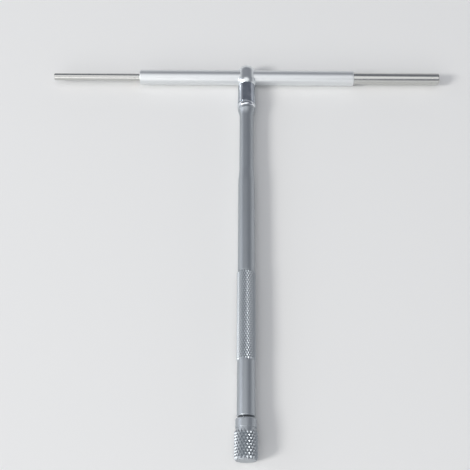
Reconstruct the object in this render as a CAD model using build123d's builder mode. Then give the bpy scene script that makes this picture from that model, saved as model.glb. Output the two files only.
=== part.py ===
from build123d import *
from math import asin, degrees, pi, radians, tan
import os

# Telescoping gauge for bores of 90 to 150 mm, lying on its side as it comes to rest.
# The measuring head runs along X, the handle runs towards -Y, and the floor is Z = 0.
# Both plungers are out, as the spring leaves them, and the lock is loose.
# Sizes are in millimetres. A station is a distance from the head's axis down the handle.

# Measuring span, over the two contact faces
span_open = 150.0
span_closed = 90.0

# Centre tube of the head
tube_length = 83.0
tube_bore = 4.5
tube_wall = 0.6
tube_edge = 0.25

# Fits, each one a gap on the radius
slide_gap = 0.05
slot_side_gap = 0.10
slot_end_gap = 0.05
rod_gap = 0.20
thread_gap = 0.05

# Large plunger, a tube that slides in the centre tube, with a hardened plug in its end
large_wall = 0.55
large_past_centre = 5.0
contact_head = 3.2
contact_shank = 4.0
contact_dome_radius = 8.0
contact_edge = 0.3

# Small plunger, a rod that slides in the large one and leaves by a bush on the left
small_step = 0.20
small_past_centre = 5.0
small_dome_radius = 6.0
small_edge = 0.25
spring_hole_depth = 40.0
bush_length = 4.0
bush_lead = 0.25
shoulder_gap = 0.10

# Spring between the plungers
wire = 0.26
wire_sides = 4
spring_radius = 0.95
spring_turns = 9
spring_side_gap = 0.12

# Head: a domed boss round the centre tube, a small step, a tapered neck and a spigot
boss_wall = 0.9
dome_centre = 1.45
boss_skirt = 4.0
boss_step = 0.13
boss_step_length = 0.5
neck_end = 12.8
neck_radius = 3.4
spigot_radius = 1.95
spigot_length = 7.8

# Polished bead between neck and handle
bead_width = 2.0
bead_radius = 3.5
bead_edge = 0.6

# Handle
collar_radius = 3.2
collar_length = 0.9
shoulder_length = 2.1
slim_radius = 2.6
slim_length = 24.2
flare_length = 4.5
grip_radius = 2.95
plain_length = 36.5
knurl_rise = 0.2
grip_knurl_length = 32.0
handle_tail = 18.2
handle_end_edge = 0.4
spigot_hole_spare = 0.3
thread_length = 13.0

# Lock shoe and spindle
nose_radius = 0.75
nose_edge = 0.15
shoe_radius = 1.2
shoe_length = 5.6
shoe_stand_off = 0.55
lock_travel = 0.20
locked_gap = 0.05
spindle_tip_gap = 0.02
rod_radius = 1.1
rod_tip_edge = 0.4
thread_radius = 1.5

# Knob
knob_gap = 0.6
knob_radius = 3.75
knob_length = 13.0
knob_band_radius = 3.4
knob_band_length = 3.0
knob_relief_radius = 3.1
knob_relief_length = 0.7
knob_edge = 0.45
knob_bore_depth = 10.0
pin_radius = 0.5
pin_station = 1.6
pin_recess = 0.12

# Diamond knurl of the knob: ridges that cross at twice the helix angle
knurl_ridges = 20
knurl_depth = 0.45
knurl_helix = 30.0

# Radii that follow from the fits
tube_radius = tube_bore / 2 + tube_wall
large_radius = tube_bore / 2 - slide_gap
large_bore_radius = large_radius - large_wall
small_radius = large_bore_radius - slide_gap
small_rod_radius = small_radius - small_step
bush_bore_radius = small_rod_radius + slide_gap
boss_radius = tube_radius + boss_wall
shoe_bore_radius = shoe_radius + slide_gap
rod_bore_radius = rod_radius + rod_gap
thread_bore_radius = thread_radius + thread_gap
knurl_radius = grip_radius + knurl_rise

# Stations along the handle
handle_top = neck_end + bead_width
spigot_end = neck_end + spigot_length
slim_top = handle_top + collar_length + shoulder_length
slim_end = slim_top + slim_length
flare_end = slim_end + flare_length
knurl_top = flare_end + plain_length
knurl_end = knurl_top + grip_knurl_length
handle_end = knurl_end + handle_tail
knob_top = handle_end + knob_gap
knob_end = knob_top + knob_length

# Places along the head, from its middle: the left is -X
travel = (span_open - span_closed) / 2
tube_end = tube_length / 2
contact_seat = span_open / 2 - contact_head
plug_end = contact_seat - contact_shank
bush_inner = -tube_end + bush_length
small_shoulder = bush_inner + shoulder_gap
spring_hole_end = small_past_centre - spring_hole_depth

# The frame: the part's box is centred in X and Y and stands on Z = 0
overall_length = dome_centre + boss_radius + knob_end
head_y = overall_length / 2 - dome_centre - boss_radius
axis_z = max(boss_radius, knob_radius)
head_centre = (0, head_y, axis_z)

head_axis = Axis(head_centre, (1, 0, 0))
handle_axis = Axis(head_centre, (0, -1, 0))

# Half-section planes: local X runs along the axis, local Y is the radius
head_section = Plane(head_centre, x_dir=(1, 0, 0), z_dir=(0, -1, 0))
handle_section = Plane(head_centre, x_dir=(0, -1, 0), z_dir=(-1, 0, 0))

# Cross-section planes, facing along the head and down the handle
across_head = Plane(head_centre, x_dir=(0, 1, 0), z_dir=(1, 0, 0))
across_handle = Plane(head_centre, x_dir=(1, 0, 0), z_dir=(0, -1, 0))


# Centre tube, with the hole that lets the lock shoe's nose in
with BuildPart() as centre_tube:
    with BuildSketch(across_head.offset(-tube_end)):
        Circle(tube_radius)
        Circle(tube_bore / 2, mode=Mode.SUBTRACT)
    extrude(amount=tube_length)
    chamfer(centre_tube.edges().filter_by(GeomType.CIRCLE).group_by(SortBy.RADIUS)[-1], tube_edge)
    with BuildSketch(across_handle):
        Circle(nose_radius + slide_gap)
    extrude(amount=tube_radius + tube_wall, mode=Mode.SUBTRACT)
centre_tube.part.label = "centre_tube"

# Bush in the tube's left end, which guides and keeps the small plunger
with BuildPart() as end_bush:
    with BuildSketch(head_section):
        with BuildLine():
            Polyline(
                (-tube_end + bush_lead, bush_bore_radius),
                (bush_inner, bush_bore_radius),
                (bush_inner, tube_bore / 2),
                (-tube_end, tube_bore / 2),
                (-tube_end, bush_bore_radius + bush_lead),
                close=True,
            )
        make_face()
    revolve(axis=head_axis)
end_bush.part.label = "end_bush"

# Large plunger, with the slot that the shoe's nose runs in
with BuildPart() as large_plunger:
    with BuildSketch(across_head.offset(-large_past_centre)):
        Circle(large_radius)
        Circle(large_bore_radius, mode=Mode.SUBTRACT)
    extrude(amount=contact_seat + large_past_centre)
    with BuildSketch(across_handle):
        with Locations((travel / 2, 0)):
            SlotOverall(
                travel + 2 * (nose_radius + slot_end_gap),
                2 * (nose_radius + slot_side_gap),
            )
    extrude(amount=tube_bore, mode=Mode.SUBTRACT)
large_plunger.part.label = "large_plunger"

# Hardened contact, with its shank in the plunger's bore and a domed face
with BuildPart() as large_contact:
    with BuildSketch(head_section):
        with BuildLine():
            dome_angle = degrees(asin(large_radius / contact_dome_radius))
            dome_middle = (span_open / 2 - contact_dome_radius, 0)
            face = CenterArc(dome_middle, contact_dome_radius, 0, dome_angle)
            Polyline(
                face @ 1,
                (contact_seat, large_radius),
                (contact_seat, large_bore_radius),
                (plug_end, large_bore_radius),
                (plug_end, 0),
                face @ 0,
            )
        make_face()
    revolve(axis=head_axis)
    rim = large_contact.edges().filter_by(lambda edge: edge.is_closed).sort_by(Axis.X)[-1]
    chamfer(rim, contact_edge)
large_contact.part.label = "large_contact"

# Small plunger: a stepped rod, bored at its inner end for the spring
with BuildPart() as small_plunger:
    with BuildSketch(head_section):
        with BuildLine():
            dome_angle = degrees(asin(small_rod_radius / small_dome_radius))
            dome_middle = (small_dome_radius - span_open / 2, 0)
            face = CenterArc(dome_middle, small_dome_radius, 180 - dome_angle, dome_angle)
            Polyline(
                face @ 0,
                (small_shoulder, small_rod_radius),
                (small_shoulder, small_radius),
                (small_past_centre, small_radius),
                (small_past_centre, spring_radius + wire / 2 + spring_side_gap),
                (spring_hole_end, spring_radius + wire / 2 + spring_side_gap),
                (spring_hole_end, 0),
                face @ 1,
            )
        make_face()
    revolve(axis=head_axis)
    rim = small_plunger.edges().filter_by(lambda edge: edge.is_closed).sort_by(Axis.X)[0]
    chamfer(rim, small_edge)
small_plunger.part.label = "small_plunger"

# Spring from the bottom of the small plunger's bore to the contact's shank
spring_start = spring_hole_end + wire
spring_length = plug_end - wire - spring_start
with BuildPart() as plunger_spring:
    with BuildLine():
        coil = Helix(
            pitch=spring_length / spring_turns,
            height=spring_length,
            radius=spring_radius,
            center=(spring_start, head_y, axis_z),
            direction=(1, 0, 0),
        )
    with BuildSketch(Plane(origin=coil @ 0, z_dir=coil % 0)):
        RegularPolygon(radius=wire / 2, side_count=wire_sides)
    sweep(is_frenet=True)
plunger_spring.part.label = "plunger_spring"

# Head, turned about the handle's axis and bored across for the tube
with BuildPart() as head:
    with BuildSketch(handle_section):
        with BuildLine():
            CenterArc((-dome_centre, 0), boss_radius, 90, 90)
            Polyline(
                (-dome_centre, boss_radius),
                (boss_skirt, boss_radius),
                (boss_skirt + boss_step_length, boss_radius - boss_step),
                (neck_end, neck_radius),
                (neck_end, spigot_radius),
                (spigot_end, spigot_radius),
                (spigot_end, 0),
                (-dome_centre - boss_radius, 0),
            )
        make_face()
    revolve(axis=handle_axis)
    with BuildSketch(across_head):
        Circle(tube_radius)
    extrude(amount=boss_radius + boss_wall, both=True, mode=Mode.SUBTRACT)
    with BuildSketch(across_handle):
        Circle(shoe_bore_radius)
    extrude(amount=spigot_end, mode=Mode.SUBTRACT)
head.part.label = "head"

# Bead that closes the joint between neck and handle
with BuildPart() as neck_ring:
    with BuildSketch(across_handle.offset(neck_end)):
        Circle(bead_radius)
        Circle(spigot_radius, mode=Mode.SUBTRACT)
    extrude(amount=bead_width)
    chamfer(neck_ring.edges().filter_by(GeomType.CIRCLE).group_by(SortBy.RADIUS)[-1], bead_edge)
neck_ring.part.label = "neck_ring"

# Handle: collar, slim stem, flare, knurled grip and threaded end, bored right through
with BuildPart() as handle:
    with BuildSketch(handle_section):
        with BuildLine():
            collar_end = handle_top + collar_length
            Polyline(
                (handle_top, 0),
                (handle_top, collar_radius),
                (collar_end, collar_radius),
            )
            TangentArc((slim_top, slim_radius), (collar_end, collar_radius), tangent=(-1, 0))
            Polyline(
                (slim_top, slim_radius),
                (slim_end, slim_radius),
                (flare_end, grip_radius),
                (knurl_top, grip_radius),
                (knurl_top + knurl_rise, knurl_radius),
                (knurl_end - knurl_rise, knurl_radius),
                (knurl_end, grip_radius),
                (handle_end - handle_end_edge, grip_radius),
                (handle_end, grip_radius - handle_end_edge),
                (handle_end, 0),
                (handle_top, 0),
            )
        make_face()
    revolve(axis=handle_axis)
    with BuildSketch(across_handle.offset(handle_top)):
        Circle(rod_bore_radius)
    extrude(amount=handle_end - handle_top, mode=Mode.SUBTRACT)
    with BuildSketch(across_handle.offset(handle_top)):
        Circle(spigot_radius)
    extrude(amount=spigot_end + spigot_hole_spare - handle_top, mode=Mode.SUBTRACT)
    with BuildSketch(across_handle.offset(handle_end)):
        Circle(thread_bore_radius)
    extrude(amount=-thread_length, mode=Mode.SUBTRACT)
handle.part.label = "handle"

# Lock shoe: its nose passes the tube and the slot and bears on the small plunger
nose_tip = small_radius + locked_gap + lock_travel
shoe_shoulder = tube_radius + shoe_stand_off
shoe_end = shoe_shoulder + shoe_length
with BuildPart() as lock_shoe:
    with BuildSketch(handle_section):
        with BuildLine():
            Polyline(
                (nose_tip, 0),
                (nose_tip, nose_radius - nose_edge),
                (nose_tip + nose_edge, nose_radius),
                (shoe_shoulder, nose_radius),
                (shoe_shoulder, shoe_radius),
                (shoe_end, shoe_radius),
                (shoe_end, 0),
                close=True,
            )
        make_face()
    revolve(axis=handle_axis)
lock_shoe.part.label = "lock_shoe"

# Spindle: a long rod behind the shoe, threaded in the handle's end and pinned in the knob
spindle_tip = shoe_end + spindle_tip_gap
thread_top = handle_end - thread_length + knob_gap
spindle_end = knob_top + knob_bore_depth
with BuildPart() as lock_spindle:
    with BuildSketch(handle_section):
        with BuildLine():
            Polyline(
                (spindle_tip, 0),
                (spindle_tip, rod_radius - rod_tip_edge),
                (spindle_tip + rod_tip_edge, rod_radius),
                (thread_top, rod_radius),
                (thread_top + thread_radius - rod_radius, thread_radius),
                (spindle_end, thread_radius),
                (spindle_end, 0),
                close=True,
            )
        make_face()
    revolve(axis=handle_axis)
    with BuildSketch(Plane.YZ):
        with Locations((head_y - knob_top - pin_station, axis_z)):
            Circle(pin_radius)
    extrude(amount=thread_radius * 2, both=True, mode=Mode.SUBTRACT)
lock_spindle.part.label = "lock_spindle"

# Knob: a knurled rim, then a relief groove and a plain band for the cross pin.
# The knurl is a ring of diamond pyramids: crests and roots alternate over a lattice of
# columns round the knob and rows along it, and the valleys run along the cells' diagonals.
band_end = knob_top + knob_band_length
rim_top = band_end + knob_relief_length
rim_length = knob_end - rim_top
columns = 2 * knurl_ridges
diamond_width = 2 * pi * knob_radius / knurl_ridges
rows = round(rim_length * tan(radians(knurl_helix)) / (diamond_width / 2))
lattice = []
for row in range(rows + 1):
    ring = []
    for column in range(columns):
        radius = knob_radius - knurl_depth * ((column + row) % 2)
        if row in (0, rows):
            radius = knob_radius - knob_edge
        point = Vector(radius, 0, rim_top + rim_length * row / rows)
        ring.append(across_handle.from_local_coords(point.rotate(Axis.Z, 360 / columns * column)))
    lattice.append(ring)

with BuildPart() as lock_knob:
    facets = [Face(Wire.make_polygon(lattice[0])), Face(Wire.make_polygon(lattice[-1]))]
    for row in range(rows):
        for column in range(columns):
            following = (column + 1) % columns
            corners = [
                lattice[row][column],
                lattice[row][following],
                lattice[row + 1][following],
                lattice[row + 1][column],
            ]
            if (column + row) % 2:
                corners = corners[-1:] + corners[:-1]
            crest, low, far_crest, high = corners
            facets.append(Face(Wire.make_polygon([crest, low, high])))
            facets.append(Face(Wire.make_polygon([far_crest, high, low])))
    add(Solid(Shell(facets)))
    with BuildSketch(handle_section):
        with BuildLine():
            Polyline(
                (knob_top, 0),
                (knob_top, knob_band_radius - knob_edge),
                (knob_top + knob_edge, knob_band_radius),
                (band_end, knob_band_radius),
                (band_end, knob_relief_radius),
                (rim_top, knob_relief_radius),
                (rim_top, 0),
                close=True,
            )
        make_face()
    revolve(axis=handle_axis)
    with BuildSketch(across_handle.offset(knob_top)):
        Circle(thread_radius)
    extrude(amount=knob_bore_depth, mode=Mode.SUBTRACT)
    with BuildSketch(Plane.YZ):
        with Locations((head_y - knob_top - pin_station, axis_z)):
            Circle(pin_radius)
    extrude(amount=knob_radius * 2, both=True, mode=Mode.SUBTRACT)
lock_knob.part.label = "lock_knob"

# Cross pin through knob and spindle
pin_half_length = knob_band_radius - pin_recess
with BuildPart() as knob_pin:
    with BuildSketch(Plane.YZ.offset(-pin_half_length)):
        with Locations((head_y - knob_top - pin_station, axis_z)):
            Circle(pin_radius)
    extrude(amount=pin_half_length * 2)
knob_pin.part.label = "knob_pin"

os.makedirs("parts", exist_ok=True)
pieces = [
    centre_tube,
    end_bush,
    large_plunger,
    large_contact,
    small_plunger,
    plunger_spring,
    head,
    neck_ring,
    handle,
    lock_shoe,
    lock_spindle,
    lock_knob,
    knob_pin,
]
for piece in pieces:
    export_step(piece.part, f"parts/{piece.part.label}.step")
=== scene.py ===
from math import asin, cos, pi, radians, sin, tan

import bmesh
import bpy
from mathutils import Matrix, Vector


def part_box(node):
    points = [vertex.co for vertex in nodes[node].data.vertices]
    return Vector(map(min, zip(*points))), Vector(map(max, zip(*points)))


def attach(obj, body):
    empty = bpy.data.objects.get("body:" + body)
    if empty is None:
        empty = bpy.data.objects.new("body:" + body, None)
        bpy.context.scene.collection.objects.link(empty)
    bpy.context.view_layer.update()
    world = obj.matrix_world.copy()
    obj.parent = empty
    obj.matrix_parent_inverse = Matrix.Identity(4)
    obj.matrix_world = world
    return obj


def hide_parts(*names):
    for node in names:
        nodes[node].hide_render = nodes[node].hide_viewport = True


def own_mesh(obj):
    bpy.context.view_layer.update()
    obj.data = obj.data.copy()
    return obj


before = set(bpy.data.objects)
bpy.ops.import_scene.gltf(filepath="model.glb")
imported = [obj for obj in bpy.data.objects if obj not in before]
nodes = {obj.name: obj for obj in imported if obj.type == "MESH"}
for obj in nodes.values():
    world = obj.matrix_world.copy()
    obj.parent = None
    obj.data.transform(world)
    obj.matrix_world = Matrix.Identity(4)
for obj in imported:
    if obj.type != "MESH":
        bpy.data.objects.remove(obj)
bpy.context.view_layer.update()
print("frame loaded:", len(nodes), "solids")

mm = 0.001
tubeLow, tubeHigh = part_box("centre_tube")
headCentre = (tubeLow + tubeHigh) / 2  # where the tube's axis crosses the handle's axis

# stations count from headCentre: along the tube to the thick plunger, or down the handle
headAxis = {"along": Vector((1, 0, 0)), "side": Vector((0, 1, 0)), "up": Vector((0, 0, 1))}
handleAxis = {"along": Vector((0, -1, 0)), "side": Vector((1, 0, 0)), "up": Vector((0, 0, 1))}
pinAxis = {"along": Vector((1, 0, 0)), "side": Vector((0, 0, 1)), "up": Vector((0, -1, 0))}

# lengths in mm, cornerShare is the most that the rounding of one corner may take of a wall
turning = {"steps": 96, "drillSteps": 32, "arcSteps": 8, "cornerShare": 0.48, "longWall": 0.5,
           "supportGap": 0.05, "onAxis": 1e-6}
mergeGaps = {"mesh": 0.000001, "pattern": 0.000005}  # in metres


def roundCorners(corners):
    # a corner is (station, radius, rounding) in mm, the rounding may be left out
    points = []
    for index, corner in enumerate(corners):
        here = Vector(corner[:2])
        rounding = corner[2] if len(corner) > 2 else 0
        if not rounding:
            points.append(here)
            continue
        toBefore = Vector(corners[index - 1][:2]) - here
        toAfter = Vector(corners[(index + 1) % len(corners)][:2]) - here
        half = toBefore.angle(toAfter) / 2
        reach = min(
            rounding / tan(half),
            toBefore.length * turning["cornerShare"],
            toAfter.length * turning["cornerShare"])
        middleWay = (toBefore.normalized() + toAfter.normalized()).normalized()
        centre = here + middleWay * (reach / cos(half))
        arcStart = here + toBefore.normalized() * reach - centre
        arcEnd = here + toAfter.normalized() * reach - centre
        for step in range(turning["arcSteps"] + 1):
            direction = arcStart.slerp(arcEnd, step / turning["arcSteps"]).normalized()
            points.append(centre + direction * arcStart.length)
    return points


def addSupportLoops(points, closed):
    # short flats beside each corner keep long polished walls free of shading gradients
    supported = []
    ends = points[1:] + (points[:1] if closed else [])
    for start, end in zip(points, ends):
        supported.append(start)
        wall = end - start
        if wall.length > turning["longWall"]:
            supported.append(start + wall.normalized() * turning["supportGap"])
            supported.append(end - wall.normalized() * turning["supportGap"])
    if not closed:
        supported.append(points[-1])
    return supported


def addPiece(name, data):
    piece = bpy.data.objects.new(name, data)
    bpy.context.scene.collection.objects.link(piece)
    return piece


def shapeToPiece(name, shape):
    bmesh.ops.recalc_face_normals(shape, faces=shape.faces)
    mesh = bpy.data.meshes.new(name)
    shape.to_mesh(mesh)
    shape.free()
    return addPiece(name, mesh)


def turnPiece(name, corners, axis, closed=False, steps=turning["steps"]):
    profile = addSupportLoops(roundCorners(corners), closed)
    shape = bmesh.new()
    rings = []
    for station, radius in profile:
        middle = headCentre + axis["along"] * (station * mm)
        if radius < turning["onAxis"]:
            rings.append([shape.verts.new(middle)] * steps)
            continue
        ring = []
        for step in range(steps):
            turn = 2 * pi * step / steps
            outwards = axis["side"] * cos(turn) + axis["up"] * sin(turn)
            ring.append(shape.verts.new(middle + outwards * (radius * mm)))
        rings.append(ring)
    following = rings[1:] + (rings[:1] if closed else [])
    for near, far in zip(rings, following):
        for step in range(steps):
            after = (step + 1) % steps
            quad = [near[step], near[after], far[after], far[step]]
            shape.faces.new(dict.fromkeys(quad))  # at a pole the quad becomes a triangle
    return shapeToPiece(name, shape)


def turnTube(name, tube, axis, steps=turning["steps"]):
    return turnPiece(name, [
        (tube["start"], tube["radius"], tube["edge"]),
        (tube["end"], tube["radius"], tube["edge"]),
        (tube["end"], tube["bore"], tube["boreEdge"]),
        (tube["start"], tube["bore"], tube["boreEdge"]),
    ], axis, closed=True, steps=steps)


def turnCutter(name, start, end, radius, axis, steps=turning["drillSteps"]):
    return turnPiece(
        name, [(start, 0), (start, radius), (end, radius), (end, 0)], axis, steps=steps)


def evaluatedMesh(piece):
    bpy.context.view_layer.update()
    graph = bpy.context.evaluated_depsgraph_get()
    return bpy.data.meshes.new_from_object(piece.evaluated_get(graph))


def bakeModifiers(piece):
    mesh = evaluatedMesh(piece)
    piece.modifiers.clear()
    piece.data = mesh


def tidyMesh(mesh):
    shape = bmesh.new()
    shape.from_mesh(mesh)
    bmesh.ops.remove_doubles(shape, verts=shape.verts, dist=mergeGaps["mesh"])
    bmesh.ops.recalc_face_normals(shape, faces=shape.faces)
    shape.to_mesh(mesh)
    shape.free()


def cutWith(piece, cutter):
    cut = piece.modifiers.new("cut", "BOOLEAN")
    cut.operation = "DIFFERENCE"
    cut.solver = "EXACT"
    cut.object = cutter
    bakeModifiers(piece)
    bpy.data.objects.remove(cutter)


def finishPiece(piece, standsFor, body, material, sharpAngle=30):
    piece.data.materials.clear()
    piece.data.materials.append(material)
    for face in piece.data.polygons:
        face.material_index = 0
    piece.data.shade_smooth()
    piece.data.set_sharp_from_angle(angle=radians(sharpAngle))
    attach(piece, body)
    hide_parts(standsFor)
    print("made", piece.name, len(piece.data.polygons), "faces")


def startMetal(name, look):
    material = bpy.data.materials.new(name)
    material.use_nodes = True
    shader = material.node_tree.nodes["Principled BSDF"]
    shader.inputs["Base Color"].default_value = (*look["colour"], 1)
    shader.inputs["Metallic"].default_value = 1
    shader.inputs["Roughness"].default_value = look["roughness"]
    return material, material.node_tree, shader


def addNoise(tree, stretch, detail=3):
    place = tree.nodes.new("ShaderNodeTexCoord")
    mapping = tree.nodes.new("ShaderNodeMapping")
    mapping.inputs["Scale"].default_value = stretch
    noise = tree.nodes.new("ShaderNodeTexNoise")
    noise.inputs["Scale"].default_value = 1  # the stretch alone says how fine it is
    noise.inputs["Detail"].default_value = detail
    tree.links.new(place.outputs["Object"], mapping.inputs["Vector"])
    tree.links.new(mapping.outputs["Vector"], noise.inputs["Vector"])
    return noise.outputs["Fac"]


def spread(tree, noise, low, high):
    usual = {"low": 0.3, "high": 0.7}  # most of a noise lies between these
    ranged = tree.nodes.new("ShaderNodeMapRange")
    ranged.inputs["From Min"].default_value = usual["low"]
    ranged.inputs["From Max"].default_value = usual["high"]
    ranged.inputs["To Min"].default_value = low
    ranged.inputs["To Max"].default_value = high
    tree.links.new(noise, ranged.inputs["Value"])
    return ranged.outputs["Result"]


def blendColours(tree, value, first, second):
    mix = tree.nodes.new("ShaderNodeMix")
    mix.data_type = "RGBA"
    for side, colour in (("A", first), ("B", second)):
        if isinstance(colour, bpy.types.NodeSocket):
            tree.links.new(colour, mix.inputs[side])
        else:
            mix.inputs[side].default_value = (*colour, 1)
    tree.links.new(value, mix.inputs["Factor"])
    return mix.outputs["Result"]


def splitVector(tree, vector):
    split = tree.nodes.new("ShaderNodeSeparateXYZ")
    tree.links.new(vector, split.inputs["Vector"])
    return split.outputs


def makeMetal(name, look):
    # patches and marks say how fine the two noises are along x, y and z
    material, tree, shader = startMetal(name, look)
    if "worn" in look:
        patches = addNoise(tree, look["patches"])
        patched = blendColours(tree, patches, look["worn"], look["colour"])
        tree.links.new(patched, shader.inputs["Base Color"])
    marks = addNoise(tree, look["marks"], look["detail"])
    tree.links.new(spread(tree, marks, *look["roughFromTo"]), shader.inputs["Roughness"])
    if "bump" in look:
        bump = tree.nodes.new("ShaderNodeBump")
        bump.inputs["Strength"].default_value = look["bump"]
        bump.inputs["Distance"].default_value = look["bumpHeight"]
        tree.links.new(marks, bump.inputs["Height"])
        tree.links.new(bump.outputs["Normal"], shader.inputs["Normal"])
    return material


def makeHeadChrome():
    # satin on the boss, glossier on the neck, parted at the small step; the neck's darker, mottled
    # colour is painted dark reflection
    look = {"colour": (0.80, 0.83, 0.84), "roughness": 0.32,
            # the two neck colours below are painted dark reflection, blotched by the mottle noise
            "neck": (0.60, 0.63, 0.68), "paintedDarkReflection": (0.34, 0.37, 0.42),
            "neckRoughFromTo": (0.13, 0.24), "mottle": (480, 380, 480), "detail": 4,
            "bossEnd": 3.95, "neckTop": 4.1}
    material, tree, shader = startMetal("headChrome", look)
    mottle = addNoise(tree, look["mottle"], look["detail"])
    place = tree.nodes.new("ShaderNodeTexCoord")
    along = splitVector(tree, place.outputs["Object"])["Y"]
    isBoss, roughness = (tree.nodes.new("ShaderNodeMapRange") for _ in range(2))
    for ranged in (isBoss, roughness):
        ranged.inputs["From Min"].default_value = headCentre.y - look["neckTop"] * mm
        ranged.inputs["From Max"].default_value = headCentre.y - look["bossEnd"] * mm
        tree.links.new(along, ranged.inputs["Value"])
    tree.links.new(spread(tree, mottle, *look["neckRoughFromTo"]), roughness.inputs["To Min"])
    roughness.inputs["To Max"].default_value = look["roughness"]
    # painted reflection: the neck's colour is darkened and blotched to stand in for dark
    # reflections
    neck = blendColours(tree, mottle, look["paintedDarkReflection"], look["neck"])
    whole = blendColours(tree, isBoss.outputs["Result"], neck, look["colour"])
    tree.links.new(whole, shader.inputs["Base Color"])
    tree.links.new(roughness.outputs["Result"], shader.inputs["Roughness"])
    return material


satinTube = makeMetal("satinTube", {  # fine grinding rings round the tube
    "colour": (0.82, 0.84, 0.85), "worn": (0.77, 0.79, 0.80), "patches": (60, 200, 200),
    "roughness": 0.45, "roughFromTo": (0.43, 0.47), "marks": (5000, 40, 40), "detail": 2})
polishedPlunger = makeMetal("polishedPlunger", {  # faint lengthways marks of sliding
    "colour": (0.63, 0.63, 0.61), "worn": (0.59, 0.59, 0.57), "patches": (60, 160, 160),
    "roughness": 0.20, "roughFromTo": (0.18, 0.23), "marks": (40, 4000, 4000), "detail": 2})
headChrome = makeHeadChrome()
ringChrome = makeMetal("ringChrome", {  # polishing lines round the ring
    "colour": (0.76, 0.79, 0.82),
    "roughness": 0.14, "roughFromTo": (0.11, 0.18), "marks": (200, 7000, 200), "detail": 2})
mattHandle = makeMetal("mattHandle", {  # an even fine grain
    "colour": (0.48, 0.51, 0.54), "worn": (0.42, 0.45, 0.47), "patches": (160, 60, 160),
    "roughness": 0.46, "roughFromTo": (0.42, 0.50), "marks": (3000, 3000, 3000), "detail": 4,
    "bump": 0.15, "bumpHeight": 0.00003})
turnedBrass = makeMetal("turnedBrass", {
    "colour": (0.74, 0.56, 0.28),
    "roughness": 0.25, "roughFromTo": (0.2, 0.34), "marks": (6000, 6000, 6000), "detail": 2})
springWire = makeMetal("springWire", {
    "colour": (0.46, 0.46, 0.47),
    "roughness": 0.28, "roughFromTo": (0.2, 0.36), "marks": (2000, 2000, 2000), "detail": 2})
print("finishes ready")


def makeCentreTube():
    tube = {"start": -41.5, "end": 41.5, "radius": 2.85, "bore": 2.25, "edge": 0.22,
            "boreEdge": 0.08, "noseHole": 0.8, "noseReach": 4}
    piece = turnTube("centreTube", tube, headAxis)
    cutWith(piece, turnCutter("drill", 0, tube["noseReach"], tube["noseHole"], handleAxis))
    finishPiece(piece, "centre_tube", "frame", satinTube)


def makeLargePlunger():
    rod = {"start": -5, "end": 71.8, "radius": 2.2, "bore": 1.65, "edge": 0.06, "boreEdge": 0,
           "slot": {"middle": 15, "length": 31.6, "width": 1.7, "reach": 4, "arcSteps": 12}}
    piece = turnTube("largePlunger", rod, headAxis)
    cutWith(piece, makeSlotCutter(rod["slot"]))
    finishPiece(piece, "large_plunger", "large_plunger", polishedPlunger)


def makeSlotCutter(slot):
    # a round-ended bar that stands out towards the handle
    shape = bmesh.new()
    endRadius = slot["width"] / 2
    straight = slot["length"] / 2 - endRadius
    outline = []
    for side in (1, -1):
        for step in range(slot["arcSteps"] + 1):
            turn = radians(180 * step / slot["arcSteps"] - 90 * side)
            along = slot["middle"] + side * straight + endRadius * cos(turn)
            outline.append((along, endRadius * sin(turn)))
    inner, outer = (
        [shape.verts.new(headCentre + Vector((x, depth, z)) * mm) for x, z in outline]
        for depth in (0, -slot["reach"]))
    shape.faces.new(inner)
    shape.faces.new(outer)
    for step in range(len(outline)):
        after = (step + 1) % len(outline)
        shape.faces.new([inner[step], inner[after], outer[after], outer[step]])
    return shapeToPiece("slotCutter", shape)


def domeCorners(end, facing):
    # from the rim to the pole of a gauging face, facing is 1 or -1
    rimAngle = asin(end["radius"] / end["dome"])
    corners = []
    for step in range(end["domeSteps"] + 1):
        angle = rimAngle * (1 - step / end["domeSteps"])
        station = end["tip"] - facing * end["dome"] * (1 - cos(angle))
        corners.append((station, end["dome"] * sin(angle)))
    return corners


def makeLargeContact():
    plug = {"seat": 71.8, "seatEdge": 0.06, "shankEnd": 67.8, "shank": 1.65,
            "radius": 2.2, "tip": 75, "dome": 8, "domeSteps": 10, "edge": 0.3}
    dome = domeCorners(plug, 1)
    piece = turnPiece("largeContact", [
        (plug["shankEnd"], 0),
        (plug["shankEnd"], plug["shank"]),
        (plug["seat"], plug["shank"]),
        (plug["seat"], plug["radius"], plug["seatEdge"]),
        (*dome[0], plug["edge"]),
        *dome[2:],
    ], headAxis)
    finishPiece(piece, "large_contact", "large_plunger", polishedPlunger)


def makeSmallPlunger():
    rod = {"tip": -75, "dome": 6, "domeSteps": 10, "radius": 1.4, "edge": 0.25,
           "shoulder": -37.4, "shoulderEdge": 0.05, "thick": 1.6, "end": 5, "endEdge": 0.1,
           "springBore": 1.2, "boreEnd": -35}
    dome = domeCorners(rod, -1)
    piece = turnPiece("smallPlunger", [
        *reversed(dome[2:]),
        (*dome[0], rod["edge"]),
        (rod["shoulder"], rod["radius"]),
        (rod["shoulder"], rod["thick"], rod["shoulderEdge"]),
        (rod["end"], rod["thick"], rod["endEdge"]),
        (rod["end"], rod["springBore"]),
        (rod["boreEnd"], rod["springBore"]),
        (rod["boreEnd"], 0),
    ], headAxis)
    finishPiece(piece, "small_plunger", "small_plunger", polishedPlunger)


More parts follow.
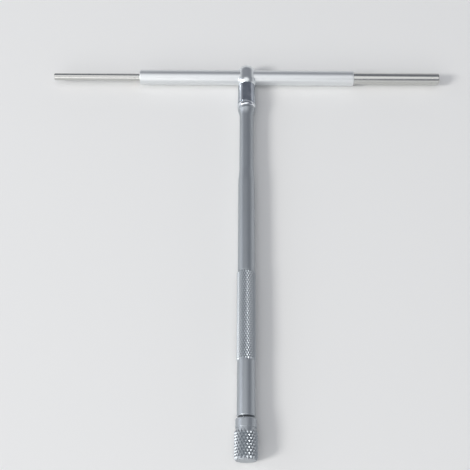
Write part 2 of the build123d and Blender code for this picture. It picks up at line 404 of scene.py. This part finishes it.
def makeHead():
    head = {"steps": 160, "domeCentre": 1.45, "radius": 3.75, "domeSteps": 24,
            "shoulderRadius": 3.4, "shoulderTurn": 38, "shoulderSteps": 14, "skirt": 4.0,
            "neckTop": 4.3, "neckStart": 3.3, "neckTopEdge": 0.1,
            "neckEnd": 12.8, "neck": 3.4, "neckEndEdge": 0.12, "spigot": 1.95, "spigotEnd": 20.6,
            "shoeBore": 1.25, "shoeBoreTop": 2, "crossBore": 2.87, "crossReach": 8, "sharp": 25}
    corners = []
    for step in range(head["domeSteps"] + 1):
        angle = radians(90) * step / head["domeSteps"]
        station = -head["domeCentre"] - head["radius"] * cos(angle)
        corners.append((station, head["radius"] * sin(angle)))
    shoulderTurn = radians(head["shoulderTurn"])
    for step in range(head["shoulderSteps"] + 1):  # the boss is rounded off towards the neck
        angle = shoulderTurn * step / head["shoulderSteps"]
        toSkirt = sin(shoulderTurn) - sin(angle)
        corners.append((
            head["skirt"] - head["shoulderRadius"] * toSkirt,
            head["radius"] - head["shoulderRadius"] * (1 - cos(angle))))
    corners += [
        (head["neckTop"], head["neckStart"], head["neckTopEdge"]),
        (head["neckEnd"], head["neck"], head["neckEndEdge"]),
        (head["neckEnd"], head["spigot"]),
        (head["spigotEnd"], head["spigot"]),
        (head["spigotEnd"], head["shoeBore"]),
        (head["shoeBoreTop"], head["shoeBore"]),
        (head["shoeBoreTop"], 0),
    ]
    piece = turnPiece("headBoss", corners, handleAxis, steps=head["steps"])
    reach = head["crossReach"]
    cutWith(piece, turnCutter("reamer", -reach, reach, head["crossBore"], headAxis, head["steps"]))
    finishPiece(piece, "head", "frame", headChrome, head["sharp"])


def makeNeckRing():
    bead = {"start": 12.8, "end": 14.8, "radius": 3.5, "bore": 1.95, "edge": 0.8, "boreEdge": 0,
            "steps": 128}
    piece = turnTube("neckRing", bead, handleAxis, bead["steps"])
    finishPiece(piece, "neck_ring", "frame", ringChrome)


makeCentreTube()
makeLargePlunger()
makeLargeContact()
makeSmallPlunger()
makeHead()
makeNeckRing()


def startTree(name, inputs):
    tree = bpy.data.node_groups.new(name, "GeometryNodeTree")
    interface = tree.interface
    interface.new_socket("Core", in_out="INPUT", socket_type="NodeSocketGeometry")
    for title in inputs:
        kind = "NodeSocketInt" if title.startswith("Count") else "NodeSocketFloat"
        interface.new_socket(title, in_out="INPUT", socket_type=kind)
    interface.new_socket("Centre", in_out="INPUT", socket_type="NodeSocketVector")
    interface.new_socket("Material", in_out="INPUT", socket_type="NodeSocketMaterial")
    interface.new_socket("Piece", in_out="OUTPUT", socket_type="NodeSocketGeometry")
    return tree, tree.nodes.new("NodeGroupInput").outputs


def makeHelpers(tree):
    def feed(socket, value):
        if isinstance(value, bpy.types.NodeSocket):
            tree.links.new(value, socket)
        elif value is not None:
            socket.default_value = value

    def calculate(operation, first, second=None):
        node = tree.nodes.new("ShaderNodeMath")
        node.operation = operation
        feed(node.inputs[0], first)
        feed(node.inputs[1], second)
        return node.outputs[0]

    def vector(x=0, y=0, z=0):
        node = tree.nodes.new("ShaderNodeCombineXYZ")
        for socket, value in zip(node.inputs, (x, y, z)):
            feed(socket, value)
        return node.outputs[0]

    return calculate, vector


def wrapRound(tree, sizes, flat, reach, turn, station):
    # bends a flat sheet round the handle's axis
    calculate, vector = makeHelpers(tree)
    wrapped = tree.nodes.new("GeometryNodeSetPosition")
    tree.links.new(flat, wrapped.inputs["Geometry"])
    tree.links.new(vector(
        calculate("MULTIPLY", reach, calculate("COSINE", turn)),
        calculate("MULTIPLY", station, -1),
        calculate("MULTIPLY", reach, calculate("SINE", turn)),
    ), wrapped.inputs["Position"])
    tree.links.new(sizes["Centre"], wrapped.inputs["Offset"])
    return closeEnds(tree, sizes, mergePoints(tree, wrapped.outputs["Geometry"]))


def mergePoints(tree, geometry):
    merged = tree.nodes.new("GeometryNodeMergeByDistance")
    merged.inputs["Distance"].default_value = mergeGaps["pattern"]
    tree.links.new(geometry, merged.inputs["Geometry"])
    return merged.outputs["Geometry"]


def findPlace(tree):
    place = tree.nodes.new("GeometryNodeInputPosition")
    return splitVector(tree, place.outputs["Position"])


def closeEnds(tree, sizes, surface):
    # the two open rims go down into the core and meet there, so the pattern is a closed sleeve
    sleeve = {"innerShare": 0.9, "rimFaces": 1.5}  # an edge on a rim has 1 face, the others 2
    calculate, vector = makeHelpers(tree)
    neighbours = tree.nodes.new("GeometryNodeInputMeshEdgeNeighbors")
    isRim = calculate("LESS_THAN", neighbours.outputs["Face Count"], sleeve["rimFaces"])
    point = findPlace(tree)
    centre = splitVector(tree, sizes["Centre"])
    half = calculate("DIVIDE", sizes["Length"], 2)
    middle = calculate("SUBTRACT", centre["Y"], calculate("ADD", sizes["Start"], half))
    fromMiddle = calculate("SUBTRACT", point["Y"], middle)
    sideways = calculate("SUBTRACT", point["X"], centre["X"])
    upwards = calculate("SUBTRACT", point["Z"], centre["Z"])
    reach = calculate("SQRT", calculate(
        "ADD", calculate("MULTIPLY", sideways, sideways), calculate("MULTIPLY", upwards, upwards)))
    rootRadius = calculate("SUBTRACT", sizes["Radius"], sizes["Depth"])
    shrink = calculate("DIVIDE", calculate("MULTIPLY", rootRadius, sleeve["innerShare"]), reach)
    rimPlace = vector(
        calculate("ADD", centre["X"], calculate("MULTIPLY", sideways, shrink)),
        calculate("ADD", middle, calculate("MULTIPLY", calculate("SIGN", fromMiddle), half)),
        calculate("ADD", centre["Z"], calculate("MULTIPLY", upwards, shrink)))
    farPlace = vector(point["X"], calculate("SUBTRACT", middle, fromMiddle), point["Z"])
    isNearRim = calculate("MULTIPLY", isRim, calculate("LESS_THAN", fromMiddle, 0))
    # both rims are drawn in to the core, and then the near one through it to the far one
    for chosen, target in ((isRim, rimPlace), (isNearRim, farPlace)):
        walls = tree.nodes.new("GeometryNodeExtrudeMesh")
        walls.mode = "EDGES"
        walls.inputs["Offset Scale"].default_value = 0
        tree.links.new(surface, walls.inputs["Mesh"])
        tree.links.new(chosen, walls.inputs["Selection"])
        drawnOut = tree.nodes.new("GeometryNodeSetPosition")
        tree.links.new(walls.outputs["Mesh"], drawnOut.inputs["Geometry"])
        tree.links.new(walls.outputs["Top"], drawnOut.inputs["Selection"])
        tree.links.new(target, drawnOut.inputs["Position"])
        surface = mergePoints(tree, drawnOut.outputs["Geometry"])
    return surface


def finishTree(tree, sizes, surface):
    joined = tree.nodes.new("GeometryNodeJoinGeometry")
    tree.links.new(sizes["Core"], joined.inputs["Geometry"])
    tree.links.new(surface, joined.inputs["Geometry"])
    realized = tree.nodes.new("GeometryNodeRealizeInstances")
    tree.links.new(joined.outputs["Geometry"], realized.inputs["Geometry"])
    painted = tree.nodes.new("GeometryNodeSetMaterial")
    tree.links.new(realized.outputs["Geometry"], painted.inputs["Geometry"])
    tree.links.new(sizes["Material"], painted.inputs["Material"])
    tree.links.new(painted.outputs["Geometry"], tree.nodes.new("NodeGroupOutput").inputs["Piece"])


def makeKnurlTree():
    tree, sizes = startTree("diamondKnurl", (
        "Count Round", "Count Along", "Radius", "Depth", "Start", "Length", "Blunt"))
    calculate, vector = makeHelpers(tree)

    # the sheet is laid out flat, X round the piece and Y along it, and then wrapped
    around = calculate("MULTIPLY", sizes["Radius"], 2 * pi)
    width = calculate("DIVIDE", around, sizes["Count Round"])
    length = calculate("DIVIDE", sizes["Length"], sizes["Count Along"])

    # one diamond is a pyramid of unit size without its bottom
    pyramid = tree.nodes.new("GeometryNodeMeshCone")
    pyramid.inputs["Vertices"].default_value = 4
    pyramid.inputs["Radius Bottom"].default_value = 1
    pyramid.inputs["Depth"].default_value = 1
    tree.links.new(sizes["Blunt"], pyramid.inputs["Radius Top"])
    openPyramid = tree.nodes.new("GeometryNodeDeleteGeometry")
    openPyramid.domain = "FACE"
    tree.links.new(pyramid.outputs["Mesh"], openPyramid.inputs["Geometry"])
    tree.links.new(pyramid.outputs["Bottom"], openPyramid.inputs["Selection"])
    finePyramid = tree.nodes.new("GeometryNodeSubdivideMesh")
    finePyramid.inputs["Level"].default_value = 1
    tree.links.new(openPyramid.outputs["Geometry"], finePyramid.inputs["Mesh"])

    sheet = tree.nodes.new("GeometryNodeJoinGeometry")
    pyramidSize = vector(
        calculate("DIVIDE", width, 2), calculate("DIVIDE", length, 2), sizes["Depth"])
    gapsRound = calculate("SUBTRACT", sizes["Count Round"], 1)
    # between the rows lie others, one fewer, half a diamond further round
    for rowsFewer, shift in ((0, 0), (1, 0.5)):
        rows = calculate("SUBTRACT", sizes["Count Along"], rowsFewer)
        gapsAlong = calculate("SUBTRACT", rows, 1)
        grid = tree.nodes.new("GeometryNodeMeshGrid")
        tree.links.new(sizes["Count Round"], grid.inputs["Vertices X"])
        tree.links.new(rows, grid.inputs["Vertices Y"])
        tree.links.new(calculate("MULTIPLY", width, gapsRound), grid.inputs["Size X"])
        tree.links.new(calculate("MULTIPLY", length, gapsAlong), grid.inputs["Size Y"])
        shifted = tree.nodes.new("GeometryNodeSetPosition")
        tree.links.new(grid.outputs["Mesh"], shifted.inputs["Geometry"])
        tree.links.new(vector(calculate("MULTIPLY", width, shift)), shifted.inputs["Offset"])
        rowsOfDiamonds = tree.nodes.new("GeometryNodeInstanceOnPoints")
        tree.links.new(shifted.outputs["Geometry"], rowsOfDiamonds.inputs["Points"])
        tree.links.new(finePyramid.outputs["Mesh"], rowsOfDiamonds.inputs["Instance"])
        tree.links.new(pyramidSize, rowsOfDiamonds.inputs["Scale"])
        tree.links.new(rowsOfDiamonds.outputs["Instances"], sheet.inputs["Geometry"])

    flat = tree.nodes.new("GeometryNodeRealizeInstances")
    tree.links.new(sheet.outputs["Geometry"], flat.inputs["Geometry"])
    point = findPlace(tree)
    turn = calculate("DIVIDE", point["X"], sizes["Radius"])
    half = calculate("DIVIDE", sizes["Length"], 2)
    toEnd = calculate("SUBTRACT", half, calculate("ABSOLUTE", point["Y"]))
    height = calculate("MINIMUM", point["Z"], toEnd)  # the crests run out at 45 degrees
    rootRadius = calculate("SUBTRACT", sizes["Radius"], sizes["Depth"])
    reach = calculate("ADD", rootRadius, height)
    station = calculate("ADD", calculate("ADD", sizes["Start"], half), point["Y"])
    surface = wrapRound(tree, sizes, flat.outputs["Geometry"], reach, turn, station)
    finishTree(tree, sizes, surface)
    return tree


def makeThreadTree():
    tree, sizes = startTree("screwThread", (
        "Count Round", "Count Along", "Radius", "Depth", "Start", "Length", "Pitch"))
    calculate, _ = makeHelpers(tree)
    # on the flat sheet X is the angle round the rod and Y runs along it
    grid = tree.nodes.new("GeometryNodeMeshGrid")
    grid.inputs["Size X"].default_value = 2 * pi
    tree.links.new(sizes["Length"], grid.inputs["Size Y"])
    tree.links.new(sizes["Count Round"], grid.inputs["Vertices X"])
    tree.links.new(sizes["Count Along"], grid.inputs["Vertices Y"])
    point = findPlace(tree)
    turn = point["X"]
    middle = calculate("ADD", sizes["Start"], calculate("DIVIDE", sizes["Length"], 2))
    station = calculate("ADD", middle, point["Y"])
    turnsAlong = calculate("DIVIDE", station, sizes["Pitch"])
    turns = calculate("SUBTRACT", turnsAlong, calculate("DIVIDE", turn, 2 * pi))
    flank = calculate("PINGPONG", calculate("MULTIPLY", turns, 2), 1)
    reach = calculate("SUBTRACT", sizes["Radius"], calculate("MULTIPLY", sizes["Depth"], flank))
    surface = wrapRound(tree, sizes, grid.outputs["Mesh"], reach, turn, station)
    finishTree(tree, sizes, surface)
    return tree


knurlTree = makeKnurlTree()
threadTree = makeThreadTree()


def addPattern(piece, tree, pattern, material):
    modifier = piece.modifiers.new("pattern", "NODES")
    modifier.node_group = tree
    values = {
        "Count Round": pattern["round"],
        "Count Along": pattern["along"],
        "Radius": pattern["radius"] * mm,
        "Depth": pattern["depth"] * mm,
        "Start": pattern["start"] * mm,
        "Length": pattern["length"] * mm,
        "Centre": headCentre,
        "Material": material,
    }
    if "blunt" in pattern:
        values["Blunt"] = pattern["blunt"]
    if "pitch" in pattern:
        values["Pitch"] = pattern["pitch"] * mm
    for item in tree.interface.items_tree:
        if item.in_out == "INPUT" and item.name in values:
            modifier[item.identifier] = values[item.name]
    bakeModifiers(piece)
    tidyMesh(piece.data)


def coreRadius(pattern):
    # the plain core stays just under the pattern's root
    return pattern["radius"] - pattern["depth"] - pattern["coreGap"]


def drillAcross(piece, pinHole):
    drill = turnCutter("drill", -pinHole["reach"], pinHole["reach"], pinHole["radius"], pinAxis)
    drill.data.transform(Matrix.Translation((0, -pinHole["station"] * mm, 0)))
    cutWith(piece, drill)


def makeHandle():
    stem = {"top": 14.8, "topEdge": 0.15, "collar": 3.2, "collarEnd": 15.7, "collarEdge": 0.6,
            "slim": 2.6, "slimTop": 17.8, "slimTopRounding": 8, "slimEnd": 42.0, "flareEnd": 46.5,
            "flareRounding": 30, "grip": 2.95, "gripStep": 0.05, "gripEdge": 0.02,
            "end": 133.2, "endEdge": 0.4, "bore": 1.3,
            "threadBore": 1.55, "threadEdge": 0.1, "threadTop": 120.2,
            "spigotBore": 1.95, "spigotEnd": 20.9,
            "knurl": {"round": 22, "along": 20, "radius": 3.15, "depth": 0.25, "start": 83,
                      "length": 32, "blunt": 0.22, "coreGap": 0.01}}
    knurl = stem["knurl"]
    root = coreRadius(knurl)
    knurlEnd = knurl["start"] + knurl["length"]
    piece = turnPiece("handleStem", [
        (stem["top"], stem["collar"], stem["topEdge"]),
        (stem["collarEnd"], stem["collar"], stem["collarEdge"]),
        (stem["slimTop"], stem["slim"], stem["slimTopRounding"]),
        (stem["slimEnd"], stem["slim"], stem["flareRounding"]),
        (stem["flareEnd"], stem["grip"], stem["flareRounding"]),
        (knurl["start"] - stem["gripStep"], stem["grip"], stem["gripEdge"]),
        (knurl["start"], root),
        (knurlEnd, root),
        (knurlEnd + stem["gripStep"], stem["grip"], stem["gripEdge"]),
        (stem["end"], stem["grip"], stem["endEdge"]),
        (stem["end"], stem["threadBore"], stem["threadEdge"]),
        (stem["threadTop"], stem["threadBore"]),
        (stem["threadTop"], stem["bore"]),
        (stem["spigotEnd"], stem["bore"]),
        (stem["spigotEnd"], stem["spigotBore"]),
        (stem["top"], stem["spigotBore"]),
    ], handleAxis, closed=True)
    addPattern(piece, knurlTree, knurl, mattHandle)
    finishPiece(piece, "handle", "frame", mattHandle)


def makeLockKnob():
    knob = {"top": 133.8, "band": 3.4, "bandEnd": 136.8, "edge": 0.4, "fineEdge": 0.1,
            "relief": 3.1, "reliefEdge": 0.08, "rimTop": 137.5, "end": 146.8,
            "bore": 1.5, "boreEnd": 143.8,
            "pinHole": {"station": 135.4, "radius": 0.52, "reach": 5},
            "knurl": {"round": 20, "along": 5, "radius": 3.75, "depth": 0.45, "start": 137.5,
                      "length": 9.3, "blunt": 0.16, "coreGap": 0.01}}
    root = coreRadius(knob["knurl"])
    piece = turnPiece("lockKnob", [
        (knob["boreEnd"], 0),
        (knob["boreEnd"], knob["bore"]),
        (knob["top"], knob["bore"], knob["fineEdge"]),
        (knob["top"], knob["band"], knob["edge"]),
        (knob["bandEnd"], knob["band"], knob["fineEdge"]),
        (knob["bandEnd"], knob["relief"], knob["reliefEdge"]),
        (knob["rimTop"], knob["relief"], knob["reliefEdge"]),
        (knob["rimTop"], root),
        (knob["end"], root, knob["fineEdge"]),
        (knob["end"], 0),
    ], handleAxis)
    drillAcross(piece, knob["pinHole"])
    addPattern(piece, knurlTree, knob["knurl"], mattHandle)
    finishPiece(piece, "lock_knob", "spindle", mattHandle)


def makeLockSpindle():
    rod = {"steps": 48, "tip": 9.02, "tipRadius": 0.7, "tipEnd": 9.42, "radius": 1.1,
           "threadTop": 120.8, "shoulder": 121.2, "coreStep": 0.05, "thick": 1.5, "end": 143.8,
           "pinHole": {"station": 135.4, "radius": 0.5, "reach": 4},
           "thread": {"round": 33, "along": 103, "radius": 1.5, "depth": 0.28, "start": 121.2,
                      "length": 12.8, "pitch": 0.5, "coreGap": 0.02}}
    thread = rod["thread"]
    core = coreRadius(thread)
    threadEnd = thread["start"] + thread["length"]
    piece = turnPiece("lockSpindle", [
        (rod["tip"], 0),
        (rod["tip"], rod["tipRadius"]),
        (rod["tipEnd"], rod["radius"]),
        (rod["threadTop"], rod["radius"]),
        (rod["shoulder"], rod["thick"]),
        (rod["shoulder"] + rod["coreStep"], core),
        (threadEnd - rod["coreStep"], core),
        (threadEnd, rod["thick"]),
        (rod["end"], rod["thick"]),
        (rod["end"], 0),
    ], handleAxis, steps=rod["steps"])
    drillAcross(piece, rod["pinHole"])
    addPattern(piece, threadTree, thread, springWire)
    finishPiece(piece, "lock_spindle", "spindle", springWire)


def makeSpringHalf(name, spring, side):
    # side is 1 towards the thick plunger, -1 towards the thin one
    openTurns = spring["turns"] - spring["closedTurns"]
    closedLength = spring["closedTurns"] * spring["closedPitch"]
    openPitch = (spring["reach"] - spring["wire"] / 2 - closedLength) / openTurns
    count = spring["turns"] * spring["pointsPerTurn"] + 1
    line = bpy.data.curves.new(name, "CURVE")
    line.dimensions = "3D"
    line.bevel_depth = spring["wire"] / 2 * mm
    line.bevel_resolution = 1
    line.use_fill_caps = True
    coils = line.splines.new("POLY")
    coils.points.add(count - 1)
    for index, point in enumerate(coils.points):
        turns = index / spring["pointsPerTurn"]
        closed = max(turns - openTurns, 0)
        reach = min(turns, openTurns) * openPitch + closed * spring["closedPitch"]
        angle = side * 2 * pi * turns
        along = spring["middle"] + side * reach
        offset = Vector((along, spring["coil"] * cos(angle), spring["coil"] * sin(angle)))
        point.co = (*(headCentre + offset * mm), 1)
    wire = addPiece(name, line)
    mesh = evaluatedMesh(wire)
    bpy.data.objects.remove(wire)
    tidyMesh(mesh)
    return addPiece(name, mesh)


def makeSpring():
    # it is made as two halves that meet in the middle, one towards each plunger
    spring = {"middle": 16.4, "reach": 51.35, "coil": 0.95, "wire": 0.26, "turns": 40,
              "closedTurns": 2, "closedPitch": 0.3, "pointsPerTurn": 16, "travel": 30, "sharp": 60}
    for name, side, joint in (
        ("springThickEnd", 1, "large_plunger_slide"),
        ("springThinEnd", -1, "small_plunger_slide"),
    ):
        piece = makeSpringHalf(name, spring, side)
        finishPiece(piece, "plunger_spring", "frame", springWire, spring["sharp"])
        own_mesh(piece)


makeHandle()
makeLockKnob()
makeLockSpindle()
makeSpring()

# three solids stay as they are and only get their metal
for name, material in (
    ("end_bush", turnedBrass),
    ("lock_shoe", turnedBrass),
    ("knob_pin", polishedPlunger),
):
    nodes[name].data.materials.clear()
    nodes[name].data.materials.append(material)


def makeFloor():
    floor = {"colour": (0.85, 0.85, 0.84), "roughness": 0.9, "specular": 0.1,
             "halfSize": 2.0, "fadeFrom": 0.15, "fadeTo": 0.5}
    half = floor["halfSize"]
    corners = [(-half, -half, 0), (half, -half, 0), (half, half, 0), (-half, half, 0)]
    mesh = bpy.data.meshes.new("floor")
    mesh.from_pydata(corners, [], [(0, 1, 2, 3)])
    plane = addPiece("floor", mesh)
    material = bpy.data.materials.new("paleFloor")
    material.use_nodes = True
    tree = material.node_tree
    shader = tree.nodes["Principled BSDF"]
    shader.inputs["Base Color"].default_value = (*floor["colour"], 1)
    shader.inputs["Roughness"].default_value = floor["roughness"]
    shader.inputs["Specular IOR Level"].default_value = floor["specular"]
    # far from the gauge the floor gives way to the pale horizon
    place = tree.nodes.new("ShaderNodeTexCoord")
    distance = tree.nodes.new("ShaderNodeVectorMath")
    distance.operation = "LENGTH"
    fade = tree.nodes.new("ShaderNodeMapRange")
    fade.interpolation_type = "SMOOTHSTEP"
    fade.inputs["From Min"].default_value = floor["fadeFrom"]
    fade.inputs["From Max"].default_value = floor["fadeTo"]
    fade.inputs["To Min"].default_value = 1
    fade.inputs["To Max"].default_value = 0
    tree.links.new(place.outputs["Object"], distance.inputs[0])
    tree.links.new(distance.outputs["Value"], fade.inputs["Value"])
    tree.links.new(fade.outputs["Result"], shader.inputs["Alpha"])
    mesh.materials.append(material)


def addAimed(name, data, place, aim):
    holder = addPiece(name, data)
    holder.location = place
    holder.rotation_euler = (Vector(aim) - holder.location).to_track_quat("-Z", "Y").to_euler()
    return holder


def makeLamps():
    lamps = {
        "frontWindow": {"place": (-0.84, -1.96, 1.126), "aim": (0, 0, 0), "size": (2.2, 1.1),
                        "power": 11.5, "colour": (1, 0.99, 0.97)},
        "upperSoftbox": {"place": (-0.20, -0.45, 2.10), "aim": (0, 0.04, 0), "size": (2.2, 2.1),
                         "power": 12.5, "colour": (1, 1, 0.99)},
        "leftStrip": {"place": (-1.70, 0.04, 0.68), "aim": (0, 0, 0), "size": (1.4, 0.44),
                      "power": 3.0, "colour": (0.84, 0.88, 1)},
        "leftKey": {"place": (-1.65, -0.77, 1.23), "aim": (0, 0, 0), "size": (0.5, 0.5),
                    "power": 25, "colour": (1, 0.99, 0.97)},
    }
    for name, lamp in lamps.items():
        light = bpy.data.lights.new(name, "AREA")
        light.shape = "RECTANGLE"
        light.size, light.size_y = lamp["size"]
        light.energy = lamp["power"]
        light.color = lamp["colour"]
        addAimed(name, light, lamp["place"], lamp["aim"]).visible_camera = False


def makeWorld():
    # pale at the horizon, darker half way up and a little lighter overhead
    sky = {"horizon": (0.79, 0.80, 0.82), "middle": (0.21, 0.22, 0.25), "top": (0.27, 0.28, 0.31),
           "horizonTo": 0.20, "middleFrom": 0.45, "middleTo": 0.80, "topFrom": 0.95}
    world = bpy.data.worlds.new("studio")
    world.use_nodes = True
    tree = world.node_tree
    place = tree.nodes.new("ShaderNodeTexCoord")
    height = splitVector(tree, place.outputs["Generated"])["Z"]
    ramp = tree.nodes.new("ShaderNodeValToRGB")
    stops = ramp.color_ramp.elements
    stops[0].position, stops[0].color = sky["horizonTo"], (*sky["horizon"], 1)
    stops[1].position, stops[1].color = sky["topFrom"], (*sky["top"], 1)
    for position in (sky["middleFrom"], sky["middleTo"]):
        stops.new(position).color = (*sky["middle"], 1)
    tree.links.new(height, ramp.inputs["Fac"])
    tree.links.new(ramp.outputs["Color"], tree.nodes["Background"].inputs["Color"])
    bpy.context.scene.world = world


def makeCamera():
    view = {"place": (-0.003, -0.127, 0.2575), "aim": (-0.004, 0.002, 0.00375), "lens": 62,
            "clipStart": 0.01}
    camera = bpy.data.cameras.new("camera")
    camera.lens = view["lens"]
    camera.clip_start = view["clipStart"]
    bpy.context.scene.camera = addAimed("camera", camera, view["place"], view["aim"])


makeFloor()
makeLamps()
makeWorld()
makeCamera()
bpy.context.scene.view_settings.view_transform = "Standard"
print("studio ready")
